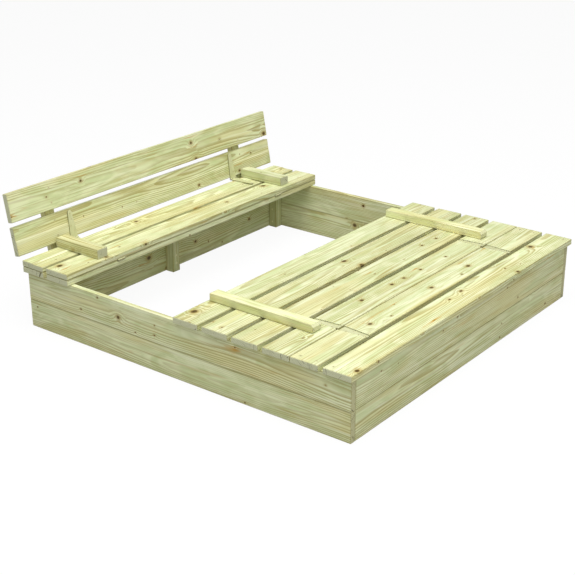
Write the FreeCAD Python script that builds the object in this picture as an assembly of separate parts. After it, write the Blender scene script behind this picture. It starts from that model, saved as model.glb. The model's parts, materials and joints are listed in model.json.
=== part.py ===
import FreeCAD, Part
import os

from FreeCAD import Vector

os.makedirs("parts", exist_ok=True)

# A square timber sandbox whose two half covers fold out into benches with backrests.
# X runs along the cover planks, +Y points from the front cover to the rear cover, +Z is up.
# The front cover is modelled shut and the rear cover is modelled folded out as a bench.
# All lengths are in millimetres.

# ---- box ----
box_length = 1200.0          # outside, along the planks
box_width = 1200.0           # outside, across the planks
board_height = 90.0
board_thickness = 18.0
boards_per_wall = 2
post_size = 34.0
edge_radius = 2.0            # sawn and planed arrises are eased by this much

# ---- cover planks ----
plank_width = 90.0
plank_thickness = 18.0
end_overhang = 12.0          # past the side walls, at each plank end
outer_overhang = 7.0         # past the front and rear walls
fixed_gap = 14.0             # between the two fixed planks
slat_gap = 14.8              # between the moving planks
fold_gap = 1.4               # between the fixed and the moving planks, at the seat hinge
rebate_depth = 2.0           # the two planks beside the backrest hinge are stepped this deep
rebate_start = 44.0          # from the plank edge beside that hinge
rebate_slope = 5.0

# ---- battens and armrests ----
batten_width = 38.0
batten_height = 24.0
batten_tip_setback = 31.5    # from the front edge of the first moving plank
batten_end_setback = 8.0     # from the inner edge of the last plank
batten_tip_bevel = 4.0       # keeps the tip clear of the outer fixed plank as the cover folds
batten_nose = 7.0            # chamfer on the upper edge of the tip
batten_from_centre = 448.0
armrest_width = 42.0
armrest_height = 30.0
armrest_front_setback = 17.0
armrest_back_reach = 14.0    # past the wall's outer face once the seat is folded out

# ---- strap hinges ----
hinge_from_centre = 388.0
leaf_length = 92.0
leaf_root_width = 30.0
leaf_tip_width = 16.0
seat_leaf_thickness = 2.0
backrest_leaf_thickness = 3.0
barrel_radius = 3.6
leaf_root_gap = 0.6          # from the pin's middle line to the root of each leaf
leaf_web = 3.0               # web that joins a leaf's plate to its knuckles
pin_radius = 1.75
pin_clearance = 0.05         # running clearance between pin and knuckles, on the radius
knuckle_gap = 0.4
leaf_sweep_clearance = 0.4   # between one leaf and the other leaf's knuckle
seat_pin_height = 0.7        # seat hinge pin above the planks' top faces
seat_leaf_depth = 4.8        # the seat hinge leaves lie on pockets this deep in the planks
pocket_clearance = 0.8
barrel_clearance = 0.6
backrest_pin_drop = 3.0      # backrest hinge pin below the planks' undersides
backrest_pin_shift = 2.0     # backrest hinge pin towards the backrest, from the gap's middle

# ---- folded pose ----
fold_angle = 180.0           # seat section, shut to folded out
recline_angle = 10.0         # backrest from the vertical

# ---- screws ----
screw_clearance = 0.05
wood_screw = {"head": 4.0, "shank": 2.2}
strap_screw = {"head": 3.2, "shank": 1.7}
screw_tip = 4.0
armrest_screw_margin = 8.0   # wood left beyond a screw's tip
batten_screw_margin = 4.0
post_screw_margin = 4.0
plank_screw_bite = 27.0      # into the wall or post below the plank
seat_strap_screw_margin = 5.0    # shorter than the plank is thick by this much
backrest_strap_screw_length = 13.0
post_screw_offsets = {"side": 24.0, "end": 14.0}
plank_screw_spread = 25.0    # fixed plank screws from the plank's middle
seat_front_screws = [44.0, 76.0]     # from the plank's first edge, under the batten's free end
seat_back_screws = [20.0, 70.0]
backrest_screws = [22.0, 70.0]
strap_screw_places = [(24.0, -6.0), (42.0, 5.0), (62.0, -3.0), (81.0, 0.0)]

overcut = 1.0                # cutting shapes reach this far past the faces they cut through

# ---- values worked out from the sizes above ----
half_length = box_length / 2
half_width = box_width / 2
wall_height = board_height * boards_per_wall
cover_top = wall_height + plank_thickness
plank_length = box_length + 2 * end_overhang
seat_strap_screw_length = plank_thickness - seat_strap_screw_margin

# Places across one half cover count inwards from the outside of its wall.
gaps_before = {
    "outer_fixed": 0.0,
    "inner_fixed": fixed_gap,
    "seat_front": fold_gap,
    "seat_back": slat_gap,
    "backrest_lower": slat_gap,
    "backrest_upper": slat_gap,
}
plank_start = {}
place = -outer_overhang
for plank_name, gap_before in gaps_before.items():
    place += gap_before
    plank_start[plank_name] = place
    place += plank_width
cover_reach = place

seat_pin_place = plank_start["seat_front"] - fold_gap / 2
backrest_pin_place = plank_start["backrest_lower"] - slat_gap / 2 + backrest_pin_shift
seat_pin = Vector(0, seat_pin_place - half_width, cover_top + seat_pin_height)
backrest_pin = Vector(0, backrest_pin_place - half_width, wall_height - backrest_pin_drop)
backrest_turn = 90.0 - recline_angle

batten_start = plank_start["seat_front"] + batten_tip_setback
batten_end = cover_reach - batten_end_setback
armrest_start = seat_pin_place + armrest_front_setback
armrest_end = 2 * seat_pin_place + armrest_back_reach

X_AXIS = Vector(1, 0, 0)
Z_AXIS = Vector(0, 0, 1)
ORIGIN = Vector(0, 0, 0)


# ---- shapes ----
def eased(shape, radius=edge_radius):
    """Round every arris of a plain block."""
    return shape.makeFillet(radius, shape.Edges)


def block(x_size, y_size, z_size, centre_x, low_y, low_z):
    """A block with eased arrises, placed by its middle in X and its low corner in Y and Z."""
    low = Vector(centre_x - x_size / 2, low_y, low_z)
    return eased(Part.makeBox(x_size, y_size, z_size, low))


def prism(points, height, direction=Z_AXIS):
    """A straight prism on a closed outline."""
    face = Part.Face(Part.makePolygon(points + [points[0]]))
    return face.extrude(direction * height)


def cylinder_along_x(radius, x_low, length, centre):
    """A cylinder along X, from x_low, at the height and depth of a centre point."""
    low = Vector(x_low, centre.y, centre.z)
    return Part.makeCylinder(radius, length, low, X_AXIS)


def screw(kind, length, head_at, direction, grow=0.0):
    """A countersunk screw with its head's face at a point; grow makes its hole instead."""
    head = kind["head"] + grow
    shank = kind["shank"] + grow
    outline = [
        Vector(head, 0, 0),
        Vector(shank, 0, shank - head),
        Vector(shank, 0, screw_tip - length),
        Vector(0, 0, -length - grow),
    ]
    if grow:
        outline += [Vector(0, 0, overcut), Vector(head, 0, overcut)]
    else:
        outline.append(ORIGIN)
    face = Part.Face(Part.makePolygon(outline + [outline[0]]))
    solid = face.revolve(ORIGIN, Z_AXIS, 360)
    turn = FreeCAD.Rotation(Vector(0, 0, -1), direction)
    solid.Placement = FreeCAD.Placement(head_at, turn)
    return solid


def cut_near(shape, tools):
    """The shape less those of the cutting tools that come near it."""
    near = [tool for tool in tools if tool.BoundBox.intersect(shape.BoundBox)]
    return shape.cut(near) if near else shape


def turned(shapes, centre, axis, angle):
    """Copies of shapes turned about an axis through a point."""
    copies = []
    for shape in shapes:
        copy = shape.copy()
        copy.rotate(centre, axis, angle)
        copies.append(copy)
    return copies


# ---- box: posts, wall boards and the screws that hold them ----
def post_screw_points():
    """Head point and direction of every screw driven through a post into a wall board."""
    points = []
    post_middle_x = half_length - board_thickness - post_size / 2
    post_middle_y = half_width - board_thickness - post_size / 2
    for level in range(boards_per_wall):
        board_middle = board_height * (level + 0.5)
        for side_y in (-1, 1):
            inner_y = side_y * (post_middle_y - post_size / 2)
            for post_x in (-post_middle_x, 0.0, post_middle_x):
                for offset in (-post_screw_offsets["end"], post_screw_offsets["end"]):
                    head = Vector(post_x, inner_y, board_middle + offset)
                    points.append((head, Vector(0, side_y, 0)))
            for side_x in (-1, 1):
                inner_x = side_x * (post_middle_x - post_size / 2)
                for offset in (-post_screw_offsets["side"], post_screw_offsets["side"]):
                    head = Vector(inner_x, side_y * post_middle_y, board_middle + offset)
                    points.append((head, Vector(side_x, 0, 0)))
    return points


def box_nodes(plank_screw_holes):
    post_screw_length = post_size + board_thickness - post_screw_margin
    screws = []
    holes = []
    for head, direction in post_screw_points():
        screws.append(screw(wood_screw, post_screw_length, head, direction))
        holes.append(screw(wood_screw, post_screw_length, head, direction, screw_clearance))
    all_holes = holes + plank_screw_holes

    nodes = {"post_screws": screws}
    inner_length = box_length - 2 * board_thickness
    level_names = ["lower", "upper"]
    for level in range(boards_per_wall):
        low_z = level * board_height
        for side_name, low_x in (("left", -half_length), ("right", half_length - board_thickness)):
            middle_x = low_x + board_thickness / 2
            board = block(board_thickness, box_width, board_height, middle_x, -half_width, low_z)
            nodes[f"{side_name}_wall_{level_names[level]}_board"] = board
        for side_name, low_y in (("front", -half_width), ("rear", half_width - board_thickness)):
            board = block(inner_length, board_thickness, board_height, 0, low_y, low_z)
            nodes[f"{side_name}_wall_{level_names[level]}_board"] = board

    post_x = half_length - board_thickness - post_size / 2
    post_rows = {
        "front": -half_width + board_thickness,
        "rear": half_width - board_thickness - post_size,
    }
    for row_name, low_y in post_rows.items():
        for column_name, centre_x in (("left", -post_x), ("middle", 0.0), ("right", post_x)):
            post = block(post_size, post_size, wall_height, centre_x, low_y, 0)
            nodes[f"{row_name}_{column_name}_post"] = post

    for name, shape in nodes.items():
        if name != "post_screws":
            nodes[name] = cut_near(shape, all_holes)
    return nodes


# ---- one half cover, shut, beside the front wall ----
def leaf_plate(x_middle, pin, side, z_low, thickness, grow=0.0):
    """A tapered strap with a rounded tip; side is -1 towards the wall and 1 towards the middle."""
    root = leaf_root_width / 2 + grow
    tip = leaf_tip_width / 2 + grow
    root_y = pin.y + side * leaf_root_gap
    tip_y = pin.y + side * (leaf_length - leaf_tip_width / 2)
    corners = [
        Vector(x_middle - root, root_y, z_low),
        Vector(x_middle + root, root_y, z_low),
        Vector(x_middle + tip, tip_y, z_low),
        Vector(x_middle - tip, tip_y, z_low),
    ]
    plate = prism(corners, thickness)
    rounded_tip = Part.makeCylinder(tip, thickness, Vector(x_middle, tip_y, z_low))
    return plate.fuse(rounded_tip).removeSplitter()


def strap_hinge(x_middle, pin, plate_low, thickness, screw_direction, screw_length):
    """The two leaves of one hinge by side, its pin, and the leaves' screws by side."""
    knuckle_length = (leaf_root_width - 2 * knuckle_gap) / 3
    left = x_middle - leaf_root_width / 2
    pitch = knuckle_length + knuckle_gap
    outer_knuckles = [left, left + 2 * pitch]
    bore_length = leaf_root_width + 2 * overcut
    bore = cylinder_along_x(pin_radius + pin_clearance, left - overcut, bore_length, pin)
    head_face = plate_low + (thickness if screw_direction.z < 0 else 0)
    web_low = min(plate_low, pin.z)
    web_height = max(plate_low + thickness, pin.z) - web_low

    leaves = {}
    screws = {}
    for side, knuckles in ((-1, outer_knuckles), (1, [left + pitch])):
        leaf = leaf_plate(x_middle, pin, side, plate_low, thickness)
        web_y = pin.y + min(side * leaf_root_gap, side * (leaf_root_gap + leaf_web))
        barrels = [cylinder_along_x(barrel_radius, start, knuckle_length, pin) for start in knuckles]
        webs = [Part.makeBox(knuckle_length, leaf_web, web_height, Vector(start, web_y, web_low))
                for start in knuckles]
        others = [left + pitch] if side < 0 else outer_knuckles
        sweep = barrel_radius + leaf_sweep_clearance
        sweep_length = knuckle_length + 2 * knuckle_gap
        notches = [cylinder_along_x(sweep, start - knuckle_gap, sweep_length, pin) for start in others]
        heads = []
        for distance, offset in strap_screw_places:
            heads.append(Vector(x_middle + offset, pin.y + side * distance, head_face))
        holes = [screw(strap_screw, screw_length, head, screw_direction, screw_clearance)
                 for head in heads]
        leaf = leaf.cut(notches).fuse(barrels + webs).removeSplitter().cut([bore] + holes)
        leaves[side] = leaf
        screws[side] = [screw(strap_screw, screw_length, head, screw_direction) for head in heads]
    pin_solid = cylinder_along_x(pin_radius, left, leaf_root_width, pin)
    return leaves, pin_solid, screws


def cover_plank(name):
    start = plank_start[name]
    plank = block(plank_length, plank_width, plank_thickness, 0, start - half_width, wall_height)
    if name not in ("seat_back", "backrest_lower"):
        return plank
    # The step is counted from the edge beside the backrest hinge.
    hinge_side = 1 if name == "backrest_lower" else -1
    edge = (start if hinge_side > 0 else start + plank_width) - half_width
    step = edge + hinge_side * rebate_start
    deep = step + hinge_side * rebate_slope
    far = edge + hinge_side * (plank_width + overcut)
    x_low = -plank_length / 2 - overcut
    below = wall_height - overcut
    points = [
        Vector(x_low, step, below),
        Vector(x_low, step, wall_height),
        Vector(x_low, deep, wall_height + rebate_depth),
        Vector(x_low, far, wall_height + rebate_depth),
        Vector(x_low, far, below),
    ]
    return plank.cut(prism(points, plank_length + 2 * overcut, X_AXIS))


def underside_at(place_across):
    """Height of the planks' undersides at a place across the cover."""
    for name, hinge_side in (("seat_back", -1), ("backrest_lower", 1)):
        start = plank_start[name]
        if start <= place_across <= start + plank_width:
            edge = start if hinge_side > 0 else start + plank_width
            if hinge_side * (place_across - edge) > rebate_start + rebate_slope:
                return wall_height + rebate_depth
    return wall_height


def batten(centre_x):
    """A batten on top of the backrest planks, its free tip bevelled underneath and on top."""
    length = batten_end - batten_start
    low_y = batten_start - half_width
    shape = block(batten_width, length, batten_height, centre_x, low_y, cover_top)
    x_low = centre_x - batten_width
    corner_y = low_y - overcut
    corner_z = cover_top - overcut
    bevel = batten_tip_bevel + 2 * overcut
    points = [
        Vector(x_low, corner_y, corner_z),
        Vector(x_low, corner_y, corner_z + bevel),
        Vector(x_low, corner_y + bevel, corner_z),
    ]
    top_z = cover_top + batten_height + overcut
    nose = batten_nose + 2 * overcut
    nose_points = [
        Vector(x_low, corner_y, top_z),
        Vector(x_low, corner_y + nose, top_z),
        Vector(x_low, corner_y, top_z - nose),
    ]
    cuts = [prism(points, 2 * batten_width, X_AXIS), prism(nose_points, 2 * batten_width, X_AXIS)]
    return shape.cut(cuts)


def armrest(centre_x):
    length = armrest_end - armrest_start
    low_y = armrest_start - half_width
    low_z = wall_height - armrest_height
    return block(armrest_width, length, armrest_height, centre_x, low_y, low_z)


def plank_screw_heads():
    """Screws through the fixed planks into the side walls and the middle post."""
    heads = []
    wall_middle = half_length - board_thickness / 2
    for name in ("outer_fixed", "inner_fixed"):
        middle = plank_start[name] + plank_width / 2
        for offset in (-plank_screw_spread, plank_screw_spread):
            for x in (-wall_middle, wall_middle):
                heads.append(Vector(x, middle + offset - half_width, cover_top))
    post_middle = board_thickness + post_size / 2
    heads.append(Vector(0, post_middle - half_width, cover_top))
    return heads


def section_screw_places(plank_offsets):
    """Places across the cover, from each plank's name and the offsets from its first edge."""
    return [plank_start[name] + offset
            for name, offsets in plank_offsets.items()
            for offset in offsets]


def half_cover():
    """Every piece of one half cover in the shut position, grouped by the section it moves with."""
    down = Vector(0, 0, -1)
    up = Vector(0, 0, 1)
    planks = {name: cover_plank(name) for name in plank_start}
    battens = {"left": batten(-batten_from_centre), "right": batten(batten_from_centre)}
    armrests = {"left": armrest(-batten_from_centre), "right": armrest(batten_from_centre)}

    fixed_heads = plank_screw_heads()
    plank_screw_length = plank_thickness + plank_screw_bite
    fixed_screws = [screw(wood_screw, plank_screw_length, head, down) for head in fixed_heads]
    fixed_holes = [screw(wood_screw, plank_screw_length, head, down, screw_clearance)
                   for head in fixed_heads]

    seat_screws = []
    backrest_screw_solids = []
    seat_holes = []
    backrest_holes = []
    seat_places = section_screw_places(
        {"seat_front": seat_front_screws, "seat_back": seat_back_screws})
    backrest_places = section_screw_places(
        {"backrest_lower": backrest_screws, "backrest_upper": backrest_screws})
    armrest_screw_length = plank_thickness + armrest_height - armrest_screw_margin
    batten_screw_length = plank_thickness - rebate_depth + batten_height - batten_screw_margin
    for x in (-batten_from_centre, batten_from_centre):
        for across in seat_places:
            head = Vector(x, across - half_width, cover_top)
            seat_screws.append(screw(wood_screw, armrest_screw_length, head, down))
            seat_holes.append(screw(wood_screw, armrest_screw_length, head, down, screw_clearance))
        for across in backrest_places:
            head = Vector(x, across - half_width, underside_at(across))
            backrest_screw_solids.append(screw(wood_screw, batten_screw_length, head, up))
            backrest_holes.append(screw(wood_screw, batten_screw_length, head, up, screw_clearance))

    seat_hinges = []
    backrest_hinges = []
    pockets = []
    for x in (-hinge_from_centre, hinge_from_centre):
        plate_low = cover_top - seat_leaf_depth
        seat_hinges.append(strap_hinge(x, seat_pin, plate_low, seat_leaf_thickness, down,
                                       seat_strap_screw_length))
        pocket_height = seat_leaf_depth + overcut
        for side in (-1, 1):
            pockets.append(leaf_plate(x, seat_pin, side, plate_low, pocket_height, pocket_clearance))
        slot_length = leaf_root_width + 2 * pocket_clearance
        slot_low = x - slot_length / 2
        slot = cylinder_along_x(barrel_radius + barrel_clearance, slot_low, slot_length, seat_pin)
        pockets.append(slot)
        plate_low = wall_height - backrest_leaf_thickness
        backrest_hinges.append(strap_hinge(x, backrest_pin, plate_low, backrest_leaf_thickness, up,
                                           backrest_strap_screw_length))

    strap_holes = []
    for hinge_row, direction, length in (
        (seat_hinges, down, seat_strap_screw_length),
        (backrest_hinges, up, backrest_strap_screw_length),
    ):
        for leaves, pin, screws in hinge_row:
            heads = [strap.Placement.Base for side in (-1, 1) for strap in screws[side]]
            strap_holes += [screw(strap_screw, length, head, direction, screw_clearance)
                            for head in heads]
    holes = fixed_holes + seat_holes + backrest_holes + strap_holes + pockets
    for shapes in (planks, battens, armrests):
        for name, shape in shapes.items():
            shapes[name] = cut_near(shape, holes)

    sections = {
        "fixed": {
            "outer_fixed_plank": [planks["outer_fixed"]],
            "inner_fixed_plank": [planks["inner_fixed"]],
            "seat_hinge_fixed_leaves": [hinge[0][-1] for hinge in seat_hinges],
            "seat_hinge_pins": [hinge[1] for hinge in seat_hinges],
            "fixed_plank_screws": fixed_screws,
            "fixed_leaf_screws": [s for hinge in seat_hinges for s in hinge[2][-1]],
        },
        "seat": {
            "seat_front_plank": [planks["seat_front"]],
            "seat_back_plank": [planks["seat_back"]],
            "left_armrest": [armrests["left"]],
            "right_armrest": [armrests["right"]],
            "seat_hinge_moving_leaves": [hinge[0][1] for hinge in seat_hinges],
            "backrest_hinge_seat_leaves": [hinge[0][-1] for hinge in backrest_hinges],
            "backrest_hinge_pins": [hinge[1] for hinge in backrest_hinges],
            "seat_screws": seat_screws
            + [s for hinge in seat_hinges for s in hinge[2][1]]
            + [s for hinge in backrest_hinges for s in hinge[2][-1]],
        },
        "backrest": {
            "backrest_lower_plank": [planks["backrest_lower"]],
            "backrest_upper_plank": [planks["backrest_upper"]],
            "left_batten": [battens["left"]],
            "right_batten": [battens["right"]],
            "backrest_hinge_backrest_leaves": [hinge[0][1] for hinge in backrest_hinges],
            "backrest_screws": backrest_screw_solids
            + [s for hinge in backrest_hinges for s in hinge[2][1]],
        },
    }
    return sections, fixed_holes


# ---- whole object ----
sections, front_plank_holes = half_cover()
rear_plank_holes = turned(front_plank_holes, ORIGIN, Z_AXIS, 180)

nodes = {}
for name, shapes in box_nodes(front_plank_holes + rear_plank_holes).items():
    nodes[name] = shapes if isinstance(shapes, list) else [shapes]

for section_name, pieces in sections.items():
    for name, shapes in pieces.items():
        nodes[f"front_{name}"] = shapes
        folded = shapes
        if section_name == "backrest":
            folded = turned(folded, backrest_pin, X_AXIS, -backrest_turn)
        if section_name != "fixed":
            folded = turned(folded, seat_pin, X_AXIS, fold_angle)
        nodes[f"rear_{name}"] = turned(folded, ORIGIN, Z_AXIS, 180)

# The reference point is the middle of the whole footprint, on the ground.
everything = Part.makeCompound([shape for shapes in nodes.values() for shape in shapes])
bounds = everything.BoundBox
shift = Vector(0, -(bounds.YMin + bounds.YMax) / 2, 0)
for name, shapes in nodes.items():
    solids = []
    for shape in shapes:
        for solid in shape.Solids:
            moved = solid.copy()
            moved.translate(shift)
            solids.append(moved)
    whole = solids[0] if len(solids) == 1 else Part.makeCompound(solids)
    whole.exportStep(f"parts/{name}.step")

# The hinge axes at rest, in the exported frame.
folded_pin = seat_pin + FreeCAD.Rotation(X_AXIS, fold_angle).multVec(backrest_pin - seat_pin)
axes = {
    "front_seat_hinge": seat_pin,
    "front_backrest_hinge": backrest_pin,
    "rear_seat_hinge": Vector(0, -seat_pin.y, seat_pin.z),
    "rear_backrest_hinge": Vector(0, -folded_pin.y, folded_pin.z),
}
for name, pin in axes.items():
    print(name, "y", round(pin.y + shift.y, 9), "z", round(pin.z, 9))
print("shift", round(shift.y, 9), "nodes", len(nodes))
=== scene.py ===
import json
import math

import bmesh
import bpy
from mathutils import Matrix, Vector, noise

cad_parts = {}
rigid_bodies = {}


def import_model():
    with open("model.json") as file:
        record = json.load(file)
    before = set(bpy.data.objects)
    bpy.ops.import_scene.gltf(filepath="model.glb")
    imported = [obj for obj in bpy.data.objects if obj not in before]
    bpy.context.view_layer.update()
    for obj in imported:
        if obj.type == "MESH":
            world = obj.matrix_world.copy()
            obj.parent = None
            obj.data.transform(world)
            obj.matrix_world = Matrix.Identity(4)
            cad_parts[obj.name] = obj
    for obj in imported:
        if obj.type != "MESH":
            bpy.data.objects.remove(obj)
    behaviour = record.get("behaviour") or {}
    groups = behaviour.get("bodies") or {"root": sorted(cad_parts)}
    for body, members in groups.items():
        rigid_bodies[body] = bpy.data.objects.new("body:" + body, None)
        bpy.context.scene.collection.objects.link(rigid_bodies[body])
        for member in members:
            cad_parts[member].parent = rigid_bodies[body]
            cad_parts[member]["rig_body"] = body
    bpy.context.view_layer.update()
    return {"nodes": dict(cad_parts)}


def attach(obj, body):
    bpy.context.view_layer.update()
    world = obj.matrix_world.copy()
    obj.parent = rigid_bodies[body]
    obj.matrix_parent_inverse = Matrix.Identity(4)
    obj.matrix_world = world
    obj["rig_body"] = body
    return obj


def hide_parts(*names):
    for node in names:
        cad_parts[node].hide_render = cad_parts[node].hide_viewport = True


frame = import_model()
scene = bpy.context.scene

RECLINE = math.radians(10)       # backrest from the vertical, rear cover folded out
GOLDEN = 0.6180339887            # spreads the boards' numbers evenly
WELD = 2e-6                      # corner points nearer than this are one, metres

UNEVENNESS = 0.00022             # how far a planed face strays, metres
ARRIS_WIDTH = 0.003              # the worn strip along each edge
DENT_DEPTH = 0.0016              # the deepest dent in an arris
BORDER = 0.0034                  # the last row of small faces beside an edge
STEP_ALONG = 0.024               # length of the small faces, along the grain
STEP_ACROSS = 0.022              # and across it

RIBS = 14                        # rings of a screw's thread
SCREW_SIDES = 24
PIN_SIDES = 32
BIG_HEAD = 0.0036                # a screw with a wider head than this has the thick shank
THICK_SHANK = 0.0022
THIN_SHANK = 0.0017


# ---------------------------------------------------------------- finishes
class Wire:
    """A socket in a finish. Arithmetic on it adds Math nodes, or Vector Math for vectors."""

    def __init__(self, finish, socket, vector=False):
        self.finish = finish
        self.socket = socket
        self.vector = vector

    def _math(self, operation, *terms):
        vector = any(isinstance(term, Wire) and term.vector for term in terms)
        kind = "ShaderNodeVectorMath" if vector else "ShaderNodeMath"
        node = self.finish.raw(kind, {"operation": operation}, dict(enumerate(terms)))
        return Wire(self.finish, node.outputs[0], vector)

    def __add__(self, other):
        return self._math("ADD", self, other)

    __radd__ = __add__

    def __sub__(self, other):
        return self._math("SUBTRACT", self, other)

    def __rsub__(self, other):
        return self._math("SUBTRACT", other, self)

    def __mul__(self, other):
        return self._math("MULTIPLY", self, other)

    __rmul__ = __mul__

    def __truediv__(self, other):
        return self._math("DIVIDE", self, other)

    def __rtruediv__(self, other):
        return self._math("DIVIDE", other, self)

    def __pow__(self, other):
        return self._math("POWER", self, other)

    def __abs__(self):
        return self._math("ABSOLUTE", self)

    def fraction(self):
        return self._math("FRACT", self)

    def root(self):
        return self._math("SQRT", self)

    def most(self, other):
        return self._math("MAXIMUM", self, other)

    def angle_to(self, other):
        return self._math("ARCTAN2", self, other)

    def rise(self, low, high):
        """0 below low, 1 above high, smooth between; low above high makes it fall instead."""
        settings = {"interpolation_type": "SMOOTHSTEP"}
        if low > high:
            return 1 - self.finish.node("ShaderNodeMapRange", settings, {0: self, 1: high, 2: low})
        return self.finish.node("ShaderNodeMapRange", settings, {0: self, 1: low, 2: high})

    def parts(self):
        """The three numbers of a vector or a colour."""
        split = self.finish.raw("ShaderNodeSeparateXYZ", {}, {0: self})
        return [Wire(self.finish, split.outputs[i]) for i in range(3)]


class Finish:
    """A finish under construction, on a material or on the world."""

    def __init__(self, owner, output="ShaderNodeOutputMaterial"):
        self.owner = owner
        self.owner.use_nodes = True
        self.tree = self.owner.node_tree
        self.tree.nodes.clear()
        self.output = self.raw(output, {}, {})

    def raw(self, kind, settings, sockets):
        """Adds a node: its settings first, then the values or links of its sockets."""
        node = self.tree.nodes.new(kind)
        for name, setting in settings.items():
            setattr(node, name, setting)
        for key, value in sockets.items():
            socket = node.inputs[key]
            if isinstance(value, Wire):
                self.tree.links.new(value.socket, socket)
            else:
                socket.default_value = value
        return node

    def node(self, kind, settings, sockets, out=0):
        return Wire(self, self.raw(kind, settings, sockets).outputs[out])

    def vector_node(self, kind, settings, sockets, out=0):
        return Wire(self, self.raw(kind, settings, sockets).outputs[out], True)

    def joined(self, x, y, z):
        return self.vector_node("ShaderNodeCombineXYZ", {}, {0: x, 1: y, 2: z})

    def blended(self, amount, first, second):
        """Colour going from first to second as amount goes from 0 to 1."""
        settings = {"data_type": "RGBA", "clamp_factor": True}
        first = first if isinstance(first, Wire) else (*first, 1)
        second = second if isinstance(second, Wire) else (*second, 1)
        return self.node("ShaderNodeMix", settings, {0: amount, 6: first, 7: second}, 2)

    def shaded(self, color, amount):
        """Colour times a value that varies about 1."""
        grey = self.joined(amount, amount, amount)
        settings = {"data_type": "RGBA", "blend_type": "MULTIPLY"}
        return self.node("ShaderNodeMix", settings, {0: 1.0, 6: color, 7: grey}, 2)

    def grain_noise(self, place, along, across, detail=2.0, warp=0.0, roughness=0.5):
        """Noise drawn out along the grain; along and across are waves to the metre."""
        return self.node("ShaderNodeTexNoise", {"noise_dimensions": "3D"}, {
            "Vector": place * (along, across, across), "Scale": 1.0, "Detail": detail,
            "Distortion": warp, "Roughness": roughness})

    def rays(self, *kinds):
        """1 for the kinds of ray named, 0 for the rest."""
        path = self.raw("ShaderNodeLightPath", {}, {})
        seen = Wire(self, path.outputs[kinds[0]])
        for kind in kinds[1:]:
            seen = seen.most(Wire(self, path.outputs[kind]))
        return seen

    def done(self, surface):
        self.tree.links.new(surface.socket, self.output.inputs[0])
        return self.owner


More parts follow.
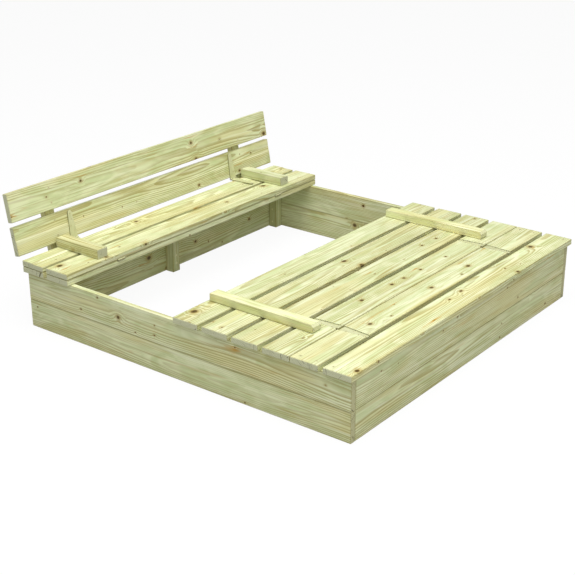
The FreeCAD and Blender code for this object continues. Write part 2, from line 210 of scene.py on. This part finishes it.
def pine(name, tone, knot_share, ring_pitch=0.0042):
    """Planed, pressure-treated pine: growth rings about a pith line, knots, streaks, end grain."""
    f = Finish(bpy.data.materials.new(name))
    place = f.vector_node("ShaderNodeTexCoord", {}, {}, 3)
    facing = f.vector_node("ShaderNodeTexCoord", {}, {}, 1)
    board = f.node("ShaderNodeAttribute", {"attribute_name": "board"}, {}, 2)
    along, across, through = place.parts()
    own = place + f.joined(board * 61.7, board * 23.9, board * 9.1)

    # Knots: scattered cells, some of which hold a knot of their own size.
    cells = 1 / 0.060                # cells to the metre
    side = through.rise(-0.002, 0.002) * 0.5
    spread = f.joined((along + board * 37.0 + side * 1.3) * cells * 0.80,
                      (across + board * 11.0 + side * 0.4) * cells, 0.0)
    knots = f.raw("ShaderNodeTexVoronoi", {"voronoi_dimensions": "2D"},
                  {"Vector": spread, "Scale": 1.0, "Randomness": 1.0})
    wobble = (f.grain_noise(own, 90.0, 90.0, 2.0) - 0.5) * 0.004
    knot_distance = Wire(f, knots.outputs["Distance"]) / cells + wobble
    luck, size_draw, tone_draw = Wire(f, knots.outputs["Color"], True).parts()
    held = luck.rise(1 - knot_share, 1 - knot_share + 0.02)
    knot_size = (0.0016 + size_draw ** 3.0 * 0.0078) * held + 0.00001
    knot_near = knot_distance / knot_size
    push = 1 / (1 + (knot_near * 0.42) ** 3.0)

    # Growth rings about a pith that wanders and lies below one face.
    pith_side = (board * 7.31).fraction() - 0.5
    pith_depth = (board * 3.77).fraction() * 0.030 + 0.020
    wander = (f.grain_noise(own, 1.7, 0.8, 1.0) - 0.5) * 0.050
    rise = (f.grain_noise(own + (5.0, 9.0, 3.0), 1.3, 0.8, 1.0) - 0.5) * 0.042
    from_pith_across = across - pith_side * 0.075 + wander
    from_pith_through = through + pith_depth + rise
    radius = (from_pith_across * from_pith_across + from_pith_through * from_pith_through).root()
    ripple = (f.grain_noise(own, 7.0, 55.0, 2.0) - 0.5) * 0.0026
    rings = (radius + ripple + push * knot_size * 1.7) / ring_pitch
    ring_step = rings.fraction()
    late = ring_step.rise(0.30, 0.88) * ring_step.rise(1.0, 0.94)

    # Colour along the faces.
    ring_strength = f.grain_noise(own, 1.1, 9.0, 1.0).rise(0.28, 0.66) * 0.80 + 0.20
    fibre = f.grain_noise(own, 24.0, 1150.0, 3.0, 0.0, 0.6)
    streak = f.grain_noise(own, 3.2, 34.0, 3.0, 0.5, 0.6)
    heart = f.grain_noise(own, 1.8, 15.0, 3.0, 0.6)
    bloom = f.grain_noise(own, 7.0, 20.0, 4.0, 1.2)
    color = f.blended(bloom.rise(0.36, 0.66), tone["pale"], tone["green"])
    color = f.blended(heart.rise(0.47, 0.68) * 0.70, color, tone["warm"])
    color = f.blended(streak.rise(0.54, 0.72) * 0.50, color, tone["tan"])
    color = f.blended(late * ring_strength * 0.80, color, tone["late"])
    hairline = f.grain_noise(own, 4.0, 260.0, 2.0, 0.3).rise(0.57, 0.66)
    color = f.blended(hairline * 0.55, color, tone["late"])
    silver = f.grain_noise(own + (3.0, 1.0, 7.0), 2.6, 95.0, 2.0, 0.4).rise(0.56, 0.68)
    color = f.blended(silver * 0.45, color, tone["silver"])

    # Resin streaks lie in line with the knots.
    resin = f.grain_noise(own, 4.5, 62.0, 3.0, 0.9, 0.6).rise(0.62, 0.71)
    near_knot = 1 / (1 + (knot_near * 0.16) ** 2.0)
    color = f.blended(resin * (near_knot * held * 0.85 + 0.26), color, tone["resin"])

    halo = knot_near.rise(2.7, 0.95) * held
    core = knot_near.rise(1.06, 0.78) * held
    heartwood = knot_near.rise(0.85, 0.30) * held
    knot_rings = (knot_near * 3.1 + f.grain_noise(own, 160.0, 160.0, 1.0) * 1.4).fraction()
    color = f.blended(halo * 0.52, color, tone["halo"])
    color = f.blended(core * (0.72 + 0.28 * tone_draw), color, tone["knot"])
    darkness = knot_rings.rise(0.3, 0.7) * 0.5 + 0.45
    color = f.blended(heartwood * darkness, color, tone["knot_heart"])
    color = f.shaded(color, 0.93 + fibre * 0.14)
    board_light = (board * 5.19).fraction()
    color = f.shaded(color, 0.94 + board_light * 0.10)
    # Every arris darkened toward a dark brown.
    arris = f.node("ShaderNodeAttribute", {"attribute_name": "arris"}, {}, 2)
    color = f.blended(arris * (0.36 + 0.55 * bloom), color, tone["arris"])

    # End grain: greyer, with ring arcs, pores and drying checks that run out from the pith.
    end = abs(facing.parts()[0]).rise(0.55, 0.80)
    bearing = from_pith_across.angle_to(from_pith_through)
    fan = f.joined(bearing * 13.0, board * 50.0, 0.0)
    cracks = f.node("ShaderNodeTexNoise", {"noise_dimensions": "3D"},
                    {"Vector": fan, "Scale": 1.0, "Detail": 1.0})
    opened = f.grain_noise(own, 10.0, 70.0, 1.0).rise(0.40, 0.62)
    check = cracks.rise(0.625, 0.66) * opened
    pores = f.grain_noise(own, 20.0, 1300.0, 2.0)
    end_color = f.blended(late * 0.60, tone["end"], tone["end_late"])
    end_color = f.shaded(end_color, 0.84 + pores * 0.30)
    end_color = f.blended(check * 0.85, end_color, tone["check"])
    color = f.blended(end, color, end_color)

    # Short surface checks on the faces, then the relief of it all.
    split = f.grain_noise(own, 6.0, 420.0, 1.0).rise(0.755, 0.80)
    color = f.blended(split * (1 - end) * 0.35, color, tone["check"])
    height = (late * -0.35 + fibre * 0.55 + core * 0.5 + check * end * -2.0 + split * -0.8
              + bloom * 0.4 + pores * end * 1.2)
    normal = f.vector_node("ShaderNodeBump", {}, {
        "Strength": 0.55, "Distance": 0.0004, "Height": height})
    rough = 0.62 + (fibre - 0.5) * 0.22 - late * 0.07 - core * 0.16 + end * 0.18
    return f.done(f.node("ShaderNodeBsdfPrincipled", {}, {
        "Base Color": color, "Roughness": rough, "Normal": normal,
        "Specular IOR Level": 0.20}))


def plated_steel(name, plate, bright, brushed_along, metal, side_shade=0.0):
    """Zinc-plated steel: brush lines, spangle, rubbed spots, and side faces darkened as painted
    shade.
    """
    f = Finish(bpy.data.materials.new(name))
    place = f.vector_node("ShaderNodeTexCoord", {}, {}, 3)
    facing = f.vector_node("ShaderNodeTexCoord", {}, {}, 1)
    lines = f.node("ShaderNodeTexNoise", {"noise_dimensions": "3D"},
                   {"Vector": place * brushed_along, "Scale": 1.0, "Detail": 3.0})
    cloud = f.grain_noise(place, 38.0, 38.0, 3.0)
    spangle = f.node("ShaderNodeTexVoronoi", {}, {"Vector": place, "Scale": 420.0})
    color = f.blended(cloud.rise(0.32, 0.68), plate, bright)
    color = f.shaded(color, 0.90 + lines * 0.20)
    spots = f.grain_noise(place, 150.0, 150.0, 2.0).rise(0.66, 0.78)
    color = f.blended(spots * 0.40, color, (0.20, 0.17, 0.08))
    # Side faces darker: painted shade standing for the shadow lines along the plate's edges.
    painted_side_shade = abs(facing.parts()[2]).rise(0.80, 0.35) * side_shade
    color = f.blended(painted_side_shade * 0.75, color, (0.22, 0.19, 0.08))
    height = lines * 0.6 + spangle * 0.2 - spots * 0.5
    normal = f.vector_node("ShaderNodeBump", {}, {
        "Strength": 0.35, "Distance": 0.0002, "Height": height})
    rough = 0.38 + cloud * 0.16 + spots * 0.2 + (lines - 0.5) * 0.16
    return f.done(f.node("ShaderNodeBsdfPrincipled", {}, {
        "Base Color": color, "Roughness": rough, "Metallic": metal - spots * 0.4,
        "Normal": normal}))


PALE_PINE = {
    "pale": (0.850, 0.890, 0.560), "green": (0.670, 0.740, 0.390),
    "warm": (0.790, 0.740, 0.370), "tan": (0.610, 0.520, 0.190),
    "late": (0.430, 0.370, 0.115), "resin": (0.560, 0.320, 0.050),
    "halo": (0.420, 0.290, 0.070), "knot": (0.170, 0.100, 0.018),
    "knot_heart": (0.045, 0.030, 0.006), "end": (0.700, 0.720, 0.490),
    "end_late": (0.500, 0.480, 0.250), "check": (0.100, 0.085, 0.030),
    "arris": (0.310, 0.265, 0.095), "silver": (0.930, 0.960, 0.700),
}


def toned(base, factor, warmth=0.0):
    """The same palette, darker or lighter, and a little warmer or cooler."""
    palette = {}
    for key, (red, green, blue) in base.items():
        palette[key] = (min(1, red * factor * (1 + warmth)), green * factor,
                        blue * factor * (1 - 2 * warmth))
    return palette


cover_pine = pine("cover_pine", toned(PALE_PINE, 0.97), 0.28)
weathered_ends = {"end": (0.62, 0.61, 0.36), "end_late": (0.38, 0.33, 0.13)}
wall_pine = pine("wall_pine", {**toned(PALE_PINE, 0.97), **weathered_ends}, 0.24, 0.0050)
batten_pine = pine("batten_pine", toned(PALE_PINE, 1.06, 0.02), 0.05, 0.0034)
post_pine = pine("post_pine", toned(PALE_PINE, 0.95), 0.18, 0.0038)
strap_steel = plated_steel(
    "strap_steel", (0.66, 0.67, 0.37), (0.78, 0.79, 0.48), (900, 60, 900), 0.30, 1.0)
pin_steel = plated_steel(
    "pin_steel", (0.48, 0.47, 0.38), (0.66, 0.65, 0.55), (60, 1500, 1500), 0.85)
screw_steel = plated_steel(
    "screw_steel", (0.66, 0.63, 0.34), (0.78, 0.76, 0.46), (700, 700, 700), 0.40)


# ---------------------------------------------------------------- timber pieces
def lie_of(node):
    """Turns a piece's own directions (along the grain, across, through) to the frame's."""
    tilt = Matrix.Identity(3)
    if node.startswith("rear_") and frame["nodes"][node]["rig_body"] == "rear_backrest":
        tilt = Matrix.Rotation(-RECLINE, 3, "X")
    low, high = extent(node, tilt)
    size = high - low
    order = sorted(range(3), key=lambda axis: -size[axis])
    columns = [tilt.col[axis].copy() for axis in order]
    columns[2] = columns[0].cross(columns[1])
    turn = Matrix(columns).transposed()
    middle = tilt @ ((low + high) / 2)
    return Matrix.Translation(middle) @ turn.to_4x4(), [size[axis] for axis in order]


def extent(node, tilt):
    """The lowest and highest place of a node, measured along the axes of a tilt."""
    inverse = tilt.inverted()
    points = [inverse @ v.co for v in frame["nodes"][node].data.vertices]
    low = Vector([min(p[axis] for p in points) for axis in range(3)])
    high = Vector([max(p[axis] for p in points) for axis in range(3)])
    return low, high


def shape_in(node, place):
    """The node's corners and faces as a new mesh, seen from a place of its own."""
    inverse = place.inverted()
    source = frame["nodes"][node].data
    mesh = bpy.data.meshes.new(node)
    mesh.from_pydata([inverse @ v.co for v in source.vertices], [],
                     [tuple(polygon.vertices) for polygon in source.polygons])
    work = bmesh.new()
    work.from_mesh(mesh)
    bmesh.ops.remove_doubles(work, verts=work.verts[:], dist=WELD)
    return mesh, work


def linked(name, mesh):
    piece = bpy.data.objects.new(name, mesh)
    scene.collection.objects.link(piece)
    return piece


def stand_in(piece, node, finish):
    """Gives a piece its finish and body, and lets it stand for a node."""
    piece.data.materials.clear()
    piece.data.materials.append(finish)
    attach(piece, frame["nodes"][node]["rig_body"])
    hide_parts(node)


def cut_across(work, axis, places):
    """Adds a ring of edges round the piece at each place along an axis."""
    normal = Vector((0, 0, 0))
    normal[axis] = 1
    for place in places:
        point = normal * place
        geometry = work.verts[:] + work.edges[:] + work.faces[:]
        bmesh.ops.bisect_plane(work, geom=geometry, dist=1e-6, plane_co=point, plane_no=normal)


def evenly(length, step):
    """Places about a step apart along a length, from its middle."""
    count = max(1, round(length / step))
    return [length * (i / count - 0.5) for i in range(1, count)]


def flat_shading_kept(piece):
    """Smooth arrises beside flat faces: normals weighted by face area."""
    piece.data.shade_smooth()
    piece.data.set_sharp_from_angle(angle=math.radians(42))
    weigh = piece.modifiers.new("weigh", "WEIGHTED_NORMAL")
    weigh.keep_sharp = True
    graph = bpy.context.evaluated_depsgraph_get()
    settled = bpy.data.meshes.new_from_object(piece.evaluated_get(graph))
    piece.modifiers.clear()
    piece.data = settled


def timber(node, number, finish):
    """A planed board: slightly uneven faces, arrises worn and dented here and there."""
    place, size = lie_of(node)
    mesh, work = shape_in(node, place)
    limits = [side / 2 for side in size]
    edge_rows = [[BORDER - limit, limit - BORDER] for limit in limits]
    cut_across(work, 0, evenly(size[0], STEP_ALONG) + edge_rows[0])
    cut_across(work, 1, evenly(size[1], STEP_ACROSS) + edge_rows[1])
    cut_across(work, 2, edge_rows[2])
    work.normal_update()
    shift = Vector((number * 7.3, number * 3.1, number * 1.7))
    arris_darkening = []
    for vertex in work.verts:
        x, y, z = vertex.co
        uneven = noise.noise(Vector((x * 5.0, y * 14.0, z * 14.0)) + shift) * 0.5 + 0.5
        edges = sorted(limit - abs(value) for limit, value in zip(limits, vertex.co))
        arris = min(1.0, max(0.0, 1.15 - edges[1] / ARRIS_WIDTH))
        arris_darkening.append(arris)
        dent = max(0.0, noise.noise(Vector((x * 55.0, y * 55.0, z * 55.0)) + shift) - 0.25)
        moved = vertex.co - vertex.normal * (UNEVENNESS * uneven + arris * dent * DENT_DEPTH)
        vertex.co = [max(-limit, min(limit, value)) for value, limit in zip(moved, limits)]
    work.to_mesh(mesh)
    work.free()
    own = (number * GOLDEN) % 1.0
    for name, values in (("board", [own] * len(mesh.vertices)), ("arris", arris_darkening)):
        mesh.attributes.new(name, "FLOAT", "POINT").data.foreach_set("value", values)
    piece = linked(node + "_timber", mesh)
    flat_shading_kept(piece)
    piece.matrix_world = place
    stand_in(piece, node, finish)


TIMBER = [
    ("wall", wall_pine, "wall_board"),
    ("post", post_pine, "post"),
    ("batten", batten_pine, "batten"),
    ("armrest", post_pine, "armrest"),
    ("plank", cover_pine, "cover_plank"),
]
number = 0
for node in sorted(frame["nodes"]):
    if "screws" in node or "leaves" in node or "pins" in node:
        continue
    finish, slot = next(kind for word, *kind in TIMBER if word in node)
    number += 1
    timber(node, number, finish)


# ---------------------------------------------------------------- screws and hinges
def solids_of(node):
    """The corner points of each separate solid in a node."""
    work = bmesh.new()
    work.from_mesh(frame["nodes"][node].data)
    bmesh.ops.remove_doubles(work, verts=work.verts[:], dist=WELD)
    seen = set()
    groups = []
    for start in work.verts:
        if start in seen:
            continue
        seen.add(start)
        group, queue = [start], [start]
        while queue:
            for edge in queue.pop().link_edges:
                for vertex in edge.verts:
                    if vertex not in seen:
                        seen.add(vertex)
                        group.append(vertex)
                        queue.append(vertex)
        groups.append([vertex.co.copy() for vertex in group])
    work.free()
    return groups


def lathe(rings, sides, work, place):
    """Turns rings of (radius, height) about Z; a radius may be a function of the bearing."""
    rows = []
    for radius, height in rings:
        row = []
        for i in range(sides):
            bearing = math.tau * i / sides
            r = radius(bearing) if callable(radius) else radius
            corner = Vector((r * math.cos(bearing), r * math.sin(bearing), height))
            row.append(work.verts.new(place @ corner))
        rows.append(row)
    for low, high in zip(rows, rows[1:]):
        for i in range(sides):
            j = (i + 1) % sides
            work.faces.new((low[i], low[j], high[j], high[i]))
    work.faces.new(rows[0][::-1])
    work.faces.new(rows[-1])


def screw_shape(head, shank, length, work, place):
    """A countersunk wood screw: star recess, plain cone, ringed thread, gimlet tip."""
    star = head * 0.46
    thread_low = -length * 0.96
    thread_high = -length * 0.40
    pitch = (thread_high - thread_low) / RIBS

    def recess(bearing):
        return star * (0.86 + 0.14 * math.cos(6 * bearing))

    rings = [(shank * 0.12, -length)]
    for i in range(RIBS):
        height = thread_low + (thread_high - thread_low) * i / RIBS
        taper = min(1.0, 0.35 + 0.65 * (i / 3))
        rings.append((shank * 0.74 * taper, height))
        rings.append((shank * 0.98 * taper, height + pitch * 0.5))
    rings += [
        (shank * 0.80, thread_high),
        (shank * 0.80, -(head - shank) * 1.15),
        (head * 0.985, -head * 0.10),
        (head * 0.990, -head * 0.03),
        (head * 0.930, -head * 0.012),
        (head * 0.60, -head * 0.012),
        (recess, -head * 0.03),
        (lambda bearing: recess(bearing) * 0.93, -head * 0.42),
        (star * 0.30, -head * 0.50),
    ]
    lathe(rings, SCREW_SIDES, work, place)


def turned_piece(node, work, crease, finish):
    """Makes one piece of a node's turned parts; edges sharper than the crease stay sharp."""
    mesh = bpy.data.meshes.new(node + "_detail")
    work.to_mesh(mesh)
    work.free()
    piece = linked(node + "_detail", mesh)
    mesh.shade_smooth()
    mesh.set_sharp_from_angle(angle=math.radians(crease))
    stand_in(piece, node, finish)


def farthest_from(point, points):
    """The points that lie as far from a point as any."""
    reach = max((p - point).length for p in points)
    return [p for p in points if (p - point).length > reach - 0.00002]


def screws(node):
    """Detailed screws where the node has its plain ones."""
    work = bmesh.new()
    for points in solids_of(node):
        middle = sum(points, Vector()) / len(points)
        one_end = farthest_from(middle, points)[0]
        other_end = farthest_from(one_end, points)[0]
        tip = max(one_end, other_end, key=lambda end: len(farthest_from(end, points)))
        rim = farthest_from(tip, points)
        crown = sum(rim, Vector()) / len(rim)
        head = max((p - crown).length for p in rim)
        length = (crown - tip).length
        shank = THICK_SHANK if head > BIG_HEAD else THIN_SHANK
        turn = (crown - tip).to_track_quat("Z", "Y").to_matrix().to_4x4()
        spin = Matrix.Rotation(noise.noise(crown * 40.0) * 3.0, 4, "Z")
        place = Matrix.Translation(crown) @ turn @ spin
        screw_shape(head, shank, length, work, place)
    work.normal_update()
    turned_piece(node, work, 35, screw_steel)


def strap_leaves(node):
    """Strap leaves with their sheared edges broken."""
    place, _ = lie_of(node)
    mesh, work = shape_in(node, place)
    bmesh.ops.dissolve_limit(work, angle_limit=math.radians(1),
                             verts=work.verts[:], edges=work.edges[:])
    work.to_mesh(mesh)
    work.free()
    piece = linked(node + "_detail", mesh)
    bevel = piece.modifiers.new("broken_edges", "BEVEL")
    bevel.width = 0.0003
    bevel.segments = 2
    bevel.limit_method = "ANGLE"
    bevel.angle_limit = math.radians(50)
    flat_shading_kept(piece)
    piece.matrix_world = place
    stand_in(piece, node, strap_steel)


def pins(node):
    """Hinge pins with rounded, slightly peened ends."""
    work = bmesh.new()
    for points in solids_of(node):
        left = min(p.x for p in points)
        right = max(p.x for p in points)
        middle = sum(points, Vector()) / len(points)
        radius = max(math.hypot(p.y - middle.y, p.z - middle.z) for p in points)
        length = right - left
        start = Matrix.Translation(Vector((left, middle.y, middle.z)))
        place = start @ Matrix.Rotation(math.pi / 2, 4, "Y")
        ends = ((0.62, 0.0), (0.88, 0.00012), (0.99, 0.00045), (1.0, 0.0009))
        rings = [(radius * share, depth) for share, depth in ends]
        rings += [(radius, length * i / 8) for i in range(1, 8)]
        rings += [(radius * share, length - depth) for share, depth in reversed(ends)]
        lathe(rings, PIN_SIDES, work, place)
    turned_piece(node, work, 40, pin_steel)


for node in sorted(frame["nodes"]):
    if "screws" in node:
        screws(node)
    elif "leaves" in node:
        strap_leaves(node)
    elif "pins" in node:
        pins(node)


# ---------------------------------------------------------------- floor, light, camera
def floor_finish():
    """White to the eye and in gloss, mid grey to the light, so it throws little back."""
    f = Finish(bpy.data.materials.new("studio_floor"))
    seen = f.rays("Is Camera Ray", "Is Glossy Ray", "Is Transmission Ray")
    lit = f.node("ShaderNodeBsdfDiffuse", {}, {"Color": (0.50, 0.50, 0.50, 1)})
    shown = f.node("ShaderNodeBsdfDiffuse", {}, {"Color": (1.0, 1.0, 1.0, 1)})
    glow = f.node("ShaderNodeEmission", {}, {"Color": (1, 1, 1, 1), "Strength": 1.0})
    white = f.node("ShaderNodeMixShader", {}, {0: 0.93, 1: shown, 2: glow})
    return f.done(f.node("ShaderNodeMixShader", {}, {0: seen, 1: lit, 2: white}))


def studio_floor():
    work = bmesh.new()
    bmesh.ops.create_circle(work, cap_ends=True, radius=60.0, segments=96)
    mesh = bpy.data.meshes.new("studio_floor")
    work.to_mesh(mesh)
    work.free()
    mesh.materials.append(floor_finish())
    floor = linked("studio_floor", mesh)
    floor.location = (0, 0, -0.0004)


def studio_world(strength):
    """Pale surroundings at a strength of their own, white to the camera."""
    f = Finish(bpy.data.worlds.new("studio_world"), "ShaderNodeOutputWorld")
    sky = f.node("ShaderNodeBackground", {}, {"Color": (1, 1, 1, 1), "Strength": strength})
    white = f.node("ShaderNodeBackground", {}, {"Color": (1, 1, 1, 1), "Strength": 1.0})
    mixed = f.node("ShaderNodeMixShader", {}, {0: f.rays("Is Camera Ray"), 1: sky, 2: white})
    scene.world = f.done(mixed)


def softbox(name, place, aim, size, power):
    data = bpy.data.lights.new(name, "AREA")
    data.shape = "RECTANGLE"
    data.size, data.size_y = size
    data.energy = power
    lamp = linked(name, data)
    lamp.location = place
    lamp.rotation_euler = (Vector(aim) - Vector(place)).to_track_quat("-Z", "Y").to_euler()


def set_camera(place, right, up, back, lens):
    data = bpy.data.cameras.new("view")
    data.lens = lens
    data.sensor_width = 36.0
    data.clip_end = 100.0
    camera = linked("view", data)
    turn = Matrix((right, up, back)).transposed().to_4x4()
    camera.matrix_world = Matrix.Translation(place) @ turn
    scene.camera = camera


studio_floor()
studio_world(0.30)
softbox("overhead", (-0.6, -0.5, 4.2), (0, 0, 0), (4.0, 4.0), 196.0)
softbox("window", (-2.6, -3.4, 2.8), (0, 0, 0.2), (2.4, 1.8), 40.0)
set_camera(Vector((-2.8425, -2.1860, 1.5752)), (0.61290, -0.79016, -0.00298),
           (0.30781, 0.23529, 0.92190), (-0.72774, -0.56594, 0.38743), 76.79)
scene.view_settings.view_transform = "Standard"

bpy.context.view_layer.update()
